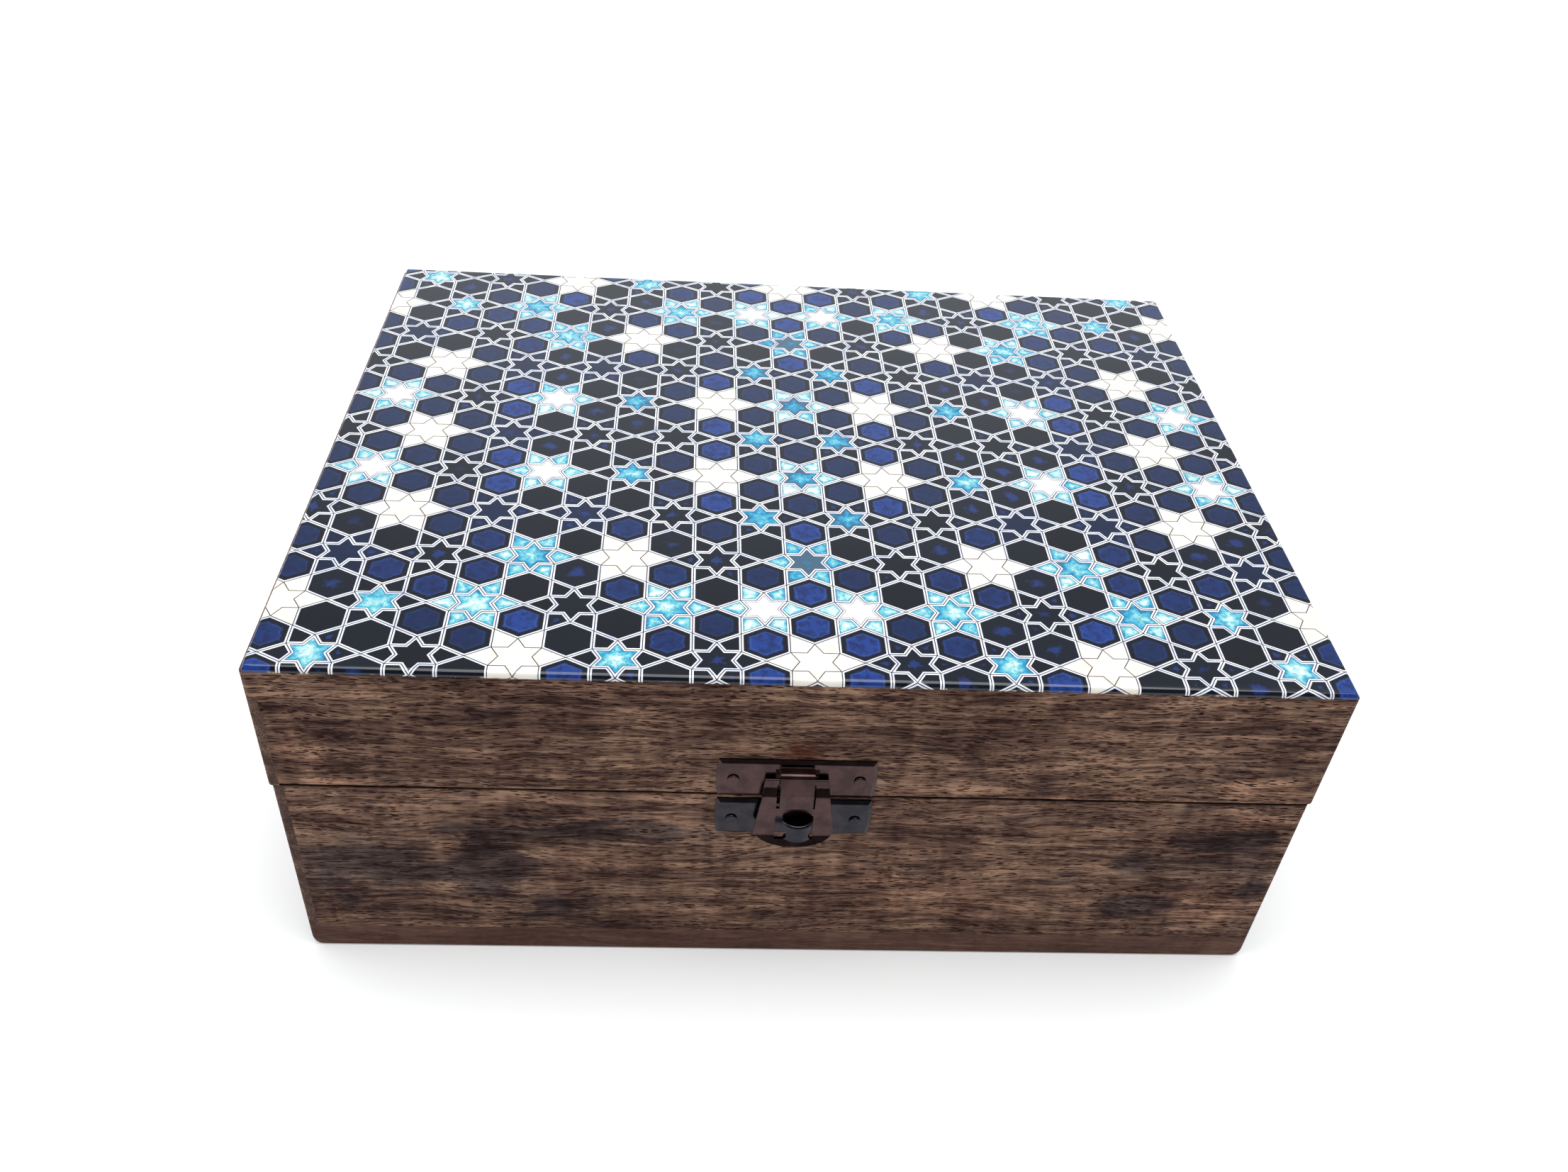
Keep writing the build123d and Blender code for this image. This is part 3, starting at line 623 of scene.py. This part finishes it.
def tile_materials():
    """One material for each class of tile, by the class's name."""
    made = {}
    s = print_surface("pattern_outline_ink")
    place = s.place()
    cloud = s.noise(s.stretch(place, (0.002, 0.002, 0.002)), 2.0)
    warm = s.attribute("level")
    ink = s.mix(cloud, linear(26, 23, 36), linear(56, 50, 74))
    brown = s.mix(cloud, linear(52, 38, 36), linear(104, 82, 68))
    ink = s.mix(s.spread(warm, 0.6, 0.9), ink, brown)
    s.colour(chipped(s, ink))
    made["outlines"] = s.material

    s = print_surface("pattern_strap_white")
    place = s.place()
    cloud = s.noise(s.stretch(place, (0.006, 0.006, 0.006)), 4.0, 0.6)
    tint = s.ramp(
        cloud,
        (0.32, linear(208, 212, 228)),
        (0.48, linear(232, 236, 244)),
        (0.62, linear(248, 250, 251)),
    )
    s.colour(chipped(s, tint))
    made["straps"] = s.material

    s = print_surface("pattern_dark_glaze")
    place = s.place()
    seed = s.attribute("seed")
    cloud = s.noise(s.stretch(place, (0.0022, 0.0022, 0.0022)), 4.0, 0.6)
    base = s.mix(seed, linear(6, 10, 20), linear(12, 18, 32))
    navy = s.mix(cloud, linear(10, 22, 48), linear(18, 40, 84))
    base = s.mix(s.maths("MULTIPLY", s.attribute("level"), 0.7), base, navy)
    spots = s.maths("ADD", s.attribute("glow"), s.maths("SUBTRACT", cloud, 0.5))
    spots = s.maths("MULTIPLY", s.spread(spots, 0.66, 0.92), s.spread(seed, 0.55, 0.75))
    base = s.mix(s.maths("MULTIPLY", spots, 0.7), base, linear(30, 56, 124))
    s.colour(chipped(s, base))
    made["dark"] = s.material

    s = print_surface("pattern_cobalt_glaze")
    place = s.place()
    cloud = s.noise(s.stretch(place, (0.0019, 0.0019, 0.0019)), 4.0, 0.62, 0.4)
    glow = s.maths("ADD", s.attribute("glow"), s.maths("MULTIPLY", cloud, 0.5))
    halo = s.spread(s.maths("ABSOLUTE", s.maths("SUBTRACT", glow, 0.66)), 0.0, 0.10, 0.4, 0.0)
    glow = s.spread(glow, 0.46, 0.68)
    level = s.attribute("level")
    bright = s.ramp(
        level,
        (0.25, linear(14, 34, 74)),
        (0.62, linear(18, 42, 96)),
        (1.0, linear(28, 58, 130)),
    )
    bright = s.mix(s.spread(cloud, 0.44, 0.62, 0.0, 0.6), bright, linear(12, 22, 56))
    bright = s.mix(s.maths("MULTIPLY", halo, level), bright, linear(58, 92, 164))
    base = s.mix(glow, linear(8, 11, 22), bright)
    s.colour(chipped(s, base))
    made["blue"] = s.material

    s = print_surface("pattern_turquoise_glaze")
    place = s.place()
    cloud = s.noise(s.stretch(place, (0.0014, 0.0014, 0.0014)), 5.0, 0.66, 0.5)
    wide = s.noise(s.stretch(place, (0.005, 0.005, 0.005), (9, 2, 4)), 2.0)
    value = s.maths("ADD", s.attribute("level"), s.maths("MULTIPLY", s.attribute("glow"), 0.42))
    value = s.maths("ADD", value, s.maths("MULTIPLY", s.maths("SUBTRACT", cloud, 0.5), 1.1))
    value = s.maths("ADD", value, s.maths("MULTIPLY", s.maths("SUBTRACT", wide, 0.5), 0.8))
    value = s.maths(
        "ADD", value, s.maths("MULTIPLY", s.maths("SUBTRACT", s.attribute("seed"), 0.5), 0.18)
    )
    base = s.ramp(
        value,
        (0.0, linear(70, 96, 116)),
        (0.10, linear(28, 116, 158)),
        (0.28, linear(50, 156, 196)),
        (0.48, linear(112, 194, 204)),
        (0.66, linear(192, 228, 226)),
        (0.84, linear(240, 238, 230)),
    )
    speck = s.noise(s.stretch(place, (0.00055, 0.00055, 0.00055), (3, 8, 1)), 3.0, 0.6)
    speck = s.spread(speck, 0.54, 0.64, 0.0, 0.55)
    speck = s.maths("MULTIPLY", speck, s.spread(value, 0.30, 0.80, 1.0, 0.15))
    base = s.mix(speck, base, linear(20, 104, 140))
    s.colour(chipped(s, base))
    made["turquoise"] = s.material

    s = print_surface("pattern_ivory_glaze")
    place = s.place()
    cloud = s.noise(s.stretch(place, (0.004, 0.004, 0.004)), 4.0, 0.6)
    base = s.ramp(
        cloud,
        (0.30, linear(229, 223, 212)),
        (0.50, linear(234, 229, 220)),
        (0.70, linear(239, 235, 227)),
    )
    s.colour(chipped(s, base))
    made["ivory"] = s.material
    return made


def resin_body():
    """The closed slab that the print lies on, rounded like it."""
    mesh = bmesh.new()
    far = COAT_HIGH.x + COAT_HIGH.y  # past every edge, and then trimmed
    corners = ((-far, -far), (far, -far), (far, far), (-far, far))
    mesh.faces.new([mesh.verts.new((x, y, 0)) for x, y in corners])
    trim_and_lay(mesh)
    rim = [edge for edge in mesh.edges if edge.is_boundary]
    for edge in rim:
        for vertex in edge.verts:
            vertex.co.z = SHEET_LOW.z
    bmesh.ops.holes_fill(mesh, edges=rim)
    bmesh.ops.recalc_face_normals(mesh, faces=mesh.faces[:])
    for vertex in mesh.verts:
        vertex.co.x *= 1 - FILM / HALF_WIDTH
        vertex.co.y = MIDDLE_Y + (vertex.co.y - MIDDLE_Y) * (1 - FILM / HALF_DEPTH)
        if vertex.co.z > SHEET_LOW.z + FILM:
            vertex.co.z -= FILM
    return mesh


def build_pattern():
    """The print, one piece for each class of tile, and the clear slab under it."""
    materials = tile_materials()
    tiles = lay_tiles()
    for name in CLASSES:
        mesh = tiles.meshes[name]
        bmesh.ops.remove_doubles(mesh, verts=mesh.verts[:], dist=1e-6)
        set_crooked(mesh)
        trim_and_lay(mesh)
        piece = finish_mesh(mesh, f"pattern_{name}", materials[name])
        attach(piece, "lid")
    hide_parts("pattern_sheet")
    s = print_surface("resin_body_clear")
    cloud = s.noise(s.stretch(s.place(), (0.01, 0.01, 0.01)), 3.0)
    s.colour(s.mix(cloud, linear(196, 190, 176), linear(222, 216, 204)))
    body = finish_mesh(resin_body(), "resin_body", s.material)
    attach(body, "lid")
    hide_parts("resin_coat")


# ---------------------------------------------------------------- the CAD pieces' looks


def dress(node, material):
    """Gives a CAD node its material."""
    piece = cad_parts[node]
    piece.data.materials.clear()
    piece.data.materials.append(material)


def soften(node, width):
    """Rounds a CAD node's sharp edges in the render, by a fraction of a millimetre."""
    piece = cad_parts[node]
    bevel = piece.modifiers.new("rounded_edges", "BEVEL")
    bevel.width = width
    bevel.segments = 3
    bevel.limit_method = "ANGLE"
    bevel.angle_limit = math.radians(30)
    bevel.harden_normals = True


def rust(s, centre, size):
    """Adds a rusty stain to a wooden front."""
    ragged = s.noise(s.stretch(s.place(), (0.0030, 0.0030, 0.0016)), 3.0)
    spot = s.spot(s.place(), centre, size, ragged)
    wood_colour = s.shader.inputs["Base Color"].links[0].from_socket
    tinted = s.mix(1.0, wood_colour, (0.8, 0.42, 0.26, 1.0), "MULTIPLY")
    tinted = s.mix(0.35, tinted, linear(70, 34, 18))
    s.colour(s.mix(s.spread(spot, 0.3, 1.5, 0.9, 0.0), wood_colour, tinted))


# Stains on the front, in metres: the x and z of each one's middle, its width and its height.
BASE_DARK = (
    (-0.098, 0.031, 0.036, 0.022),
    (-0.070, 0.029, 0.022, 0.022),
    (-0.056, 0.016, 0.022, 0.010),
    (-0.048, 0.043, 0.060, 0.008),
    (0.082, 0.034, 0.018, 0.008),
    (0.083, 0.019, 0.018, 0.009),
    (0.101, 0.042, 0.022, 0.007),
    (0.110, 0.030, 0.010, 0.020),
)
BASE_TAN = (
    (0.100, 0.020, 0.030, 0.018),
    (0.104, 0.048, 0.020, 0.010),
    (0.030, 0.022, 0.040, 0.020),
)
LID_TAN = (
    (0.060, 0.0575, 0.110, 0.0050),
    (0.100, 0.062, 0.030, 0.010),
    (-0.106, 0.066, 0.012, 0.016),
    (-0.100, 0.058, 0.040, 0.003),
)
RUST_PLACE = (LATCH_X + 0.4 * MM, SEAM + 13.2 * MM)
RUST_SIZE = (6.6 * MM, 5.2 * MM)


def dress_wood():
    """Gives each wooden piece its own cut of wood."""
    boards = {
        "base_front_board": dict(
            grain="X", shift=(0.00, 0.00, 0.00), dark_spots=BASE_DARK, tan_spots=BASE_TAN
        ),
        "base_back_board": dict(grain="X", shift=(0.31, 0.07, 0.02)),
        "base_left_board": dict(grain="Y", shift=(0.17, 0.41, 0.05)),
        "base_right_board": dict(grain="Y", shift=(0.53, 0.29, 0.09)),
    }
    rails = {
        "lid_front_rail": dict(
            grain="X", shift=(0.74, 0.12, 0.33), tone=0.96, pores=0.7, tan_spots=LID_TAN, wear=0.9
        ),
        "lid_back_rail": dict(grain="X", shift=(0.11, 0.83, 0.21)),
        "lid_left_rail": dict(grain="Y", shift=(0.37, 0.19, 0.61)),
        "lid_right_rail": dict(grain="Y", shift=(0.93, 0.57, 0.43)),
    }
    # The base boards' outsides are darkened along their top with painted shade below the lid
    # seam.
    for node, look in boards.items():
        dress(node, wood(f"{node}_wood", blotch=0.6, seam_shade_edge=SEAM, **look).material)
    for node, look in rails.items():
        s = wood(f"{node}_wood", blotch=0.4, worn_edge=SEAM, **look)
        if node == "lid_front_rail":
            rust(s, RUST_PLACE, RUST_SIZE)
        dress(node, s.material)
    top = wood("lid_top_panel_wood", "X", (0.23, 0.67, 0.13), pores=0.9, blotch=0.2)
    dress("lid_top_panel", top.material)
    bottom = wood("bottom_panel_wood", "X", (0.61, 0.39, 0.77), blotch=0.2, plain=0.75)
    dress("bottom_panel", bottom.material)


LATCH_EDGE = 0.16 * MM  # radius on the latch's edges


def dress_metal():
    """Gives the latch, its catch and the hinges their metals."""
    latch = metal("latch_gunmetal", (60, 46, 47), (76, 58, 57), 0.14)
    catch = metal("catch_gunmetal", (42, 42, 48), (56, 52, 57), 0.14)
    hinge = metal("hinge_bronze", (98, 84, 78), (126, 104, 90), 0.26)
    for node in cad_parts:
        if node.startswith("hinge_"):
            dress(node, hinge)
        elif node in ("latch_catch_plate", "latch_catch_nails"):
            dress(node, catch)
        elif node.startswith("latch_"):
            dress(node, latch)
        if node.startswith("latch_"):
            soften(node, LATCH_EDGE)


# ---------------------------------------------------------------- floor, light and camera

FLOOR_BRIGHT = -0.40  # the floor is white from this Y back
FLOOR_DIM = -1.40  # and a pale grey this far in front
FLOOR_HALF = 4.0
FLOOR_GLOW = 0.10  # emission that keeps the near floor white


def build_floor():
    mesh = bmesh.new()
    bmesh.ops.create_grid(mesh, x_segments=8, y_segments=8, size=FLOOR_HALF)
    data = bpy.data.meshes.new("floor")
    mesh.to_mesh(data)
    mesh.free()
    floor = bpy.data.objects.new("floor", data)
    bpy.context.scene.collection.objects.link(floor)
    s = Surface("floor_paper", Roughness=0.7, Specular_IOR_Level=0.2)
    place = s.place()
    cloud = s.noise(s.stretch(place, (0.4, 0.4, 0.4)), 2.0)
    near = s.spread(s.axis(place, "Y"), FLOOR_DIM, FLOOR_BRIGHT)
    white = s.mix(cloud, linear(248, 248, 247), linear(251, 251, 250))
    s.colour(s.mix(near, linear(205, 204, 203), white))
    s.shader.inputs["Emission Color"].default_value = (1.0, 1.0, 1.0, 1.0)
    s.put(s.shader.inputs["Emission Strength"], s.maths("MULTIPLY", near, FLOOR_GLOW))
    data.materials.append(s.material)


def aim(thing, place, target):
    """Puts a light in the scene at a place, facing a target."""
    thing.location = place
    thing.rotation_euler = (Vector(target) - Vector(place)).to_track_quat("-Z", "Y").to_euler()
    bpy.context.scene.collection.objects.link(thing)


# The world's strength by direction: dark on the viewer's side and bright at the back, with a
# dimmer band where the back wall meets the ceiling.
ROOM_FRONT, ROOM_FRONT_Y = 0.16, -0.55
ROOM_BACK, ROOM_BACK_Y = 1.05, 0.25
BAND_Y, BAND_CORE, BAND_HALF = 0.70, 0.02, 0.20
BAND_STRENGTH = 0.48
LIT_POINT = (0, 0, 0.04)
SOFTBOXES = (  # name, place, size in metres, watts
    ("softbox_top", (0.05, -0.15, 1.5), 1.3, 19.0),
    ("softbox_left", (-1.3, -0.4, 1.1), 0.7, 3.5),
)


def world_maths(tree, operation, *values):
    made = tree.nodes.new("ShaderNodeMath")
    made.operation = operation
    for index, value in enumerate(values):
        if isinstance(value, bpy.types.NodeSocket):
            tree.links.new(value, made.inputs[index])
        else:
            made.inputs[index].default_value = value
    return made.outputs[0]


def world_spread(tree, value, low, high, start, end):
    made = tree.nodes.new("ShaderNodeMapRange")
    made.interpolation_type = "SMOOTHSTEP"
    tree.links.new(value, made.inputs[0])
    for index, limit in enumerate((low, high, start, end), 1):
        made.inputs[index].default_value = limit
    return made.outputs[0]


def build_light():
    world = bpy.data.worlds.new("studio")
    world.use_nodes = True
    bpy.context.scene.world = world
    tree = world.node_tree
    sky = tree.nodes["Background"]
    sky.inputs["Color"].default_value = (0.90, 0.95, 1.0, 1.0)
    way = tree.nodes.new("ShaderNodeTexCoord").outputs["Generated"]
    parts = tree.nodes.new("ShaderNodeSeparateXYZ")
    tree.links.new(way, parts.inputs[0])
    y = parts.outputs["Y"]
    room = world_spread(tree, y, ROOM_FRONT_Y, ROOM_BACK_Y, ROOM_FRONT, ROOM_BACK)
    from_band = world_maths(tree, "ABSOLUTE", world_maths(tree, "SUBTRACT", y, BAND_Y))
    band = world_spread(tree, from_band, BAND_CORE, BAND_HALF, BAND_STRENGTH, 1.0)
    tree.links.new(world_maths(tree, "MULTIPLY", room, band), sky.inputs["Strength"])
    for name, place, size, energy in SOFTBOXES:
        light = bpy.data.lights.new(name, "AREA")
        light.shape = "SQUARE"
        light.size = size
        light.energy = energy
        aim(bpy.data.objects.new(name, light), place, LIT_POINT)


CAMERA_PLACE = (-0.02343, -0.28533, 0.27715)
CAMERA_TURN = (50.716, -3.543, -1.652)  # degrees about X, Y and Z
CAMERA_LENS = 30.682  # millimetres, on a sensor 36 wide
SENSOR_WIDTH = 36.0


def build_camera():
    data = bpy.data.cameras.new("photo_view")
    data.sensor_width = SENSOR_WIDTH
    data.lens = CAMERA_LENS
    data.clip_start = 0.01
    camera = bpy.data.objects.new("photo_view", data)
    camera.location = CAMERA_PLACE
    camera.rotation_euler = [math.radians(angle) for angle in CAMERA_TURN]
    bpy.context.scene.collection.objects.link(camera)
    bpy.context.scene.camera = camera
    bpy.context.scene.view_settings.view_transform = "Standard"


build_camera()
build_light()
build_floor()
dress_wood()
dress_metal()
build_pattern()
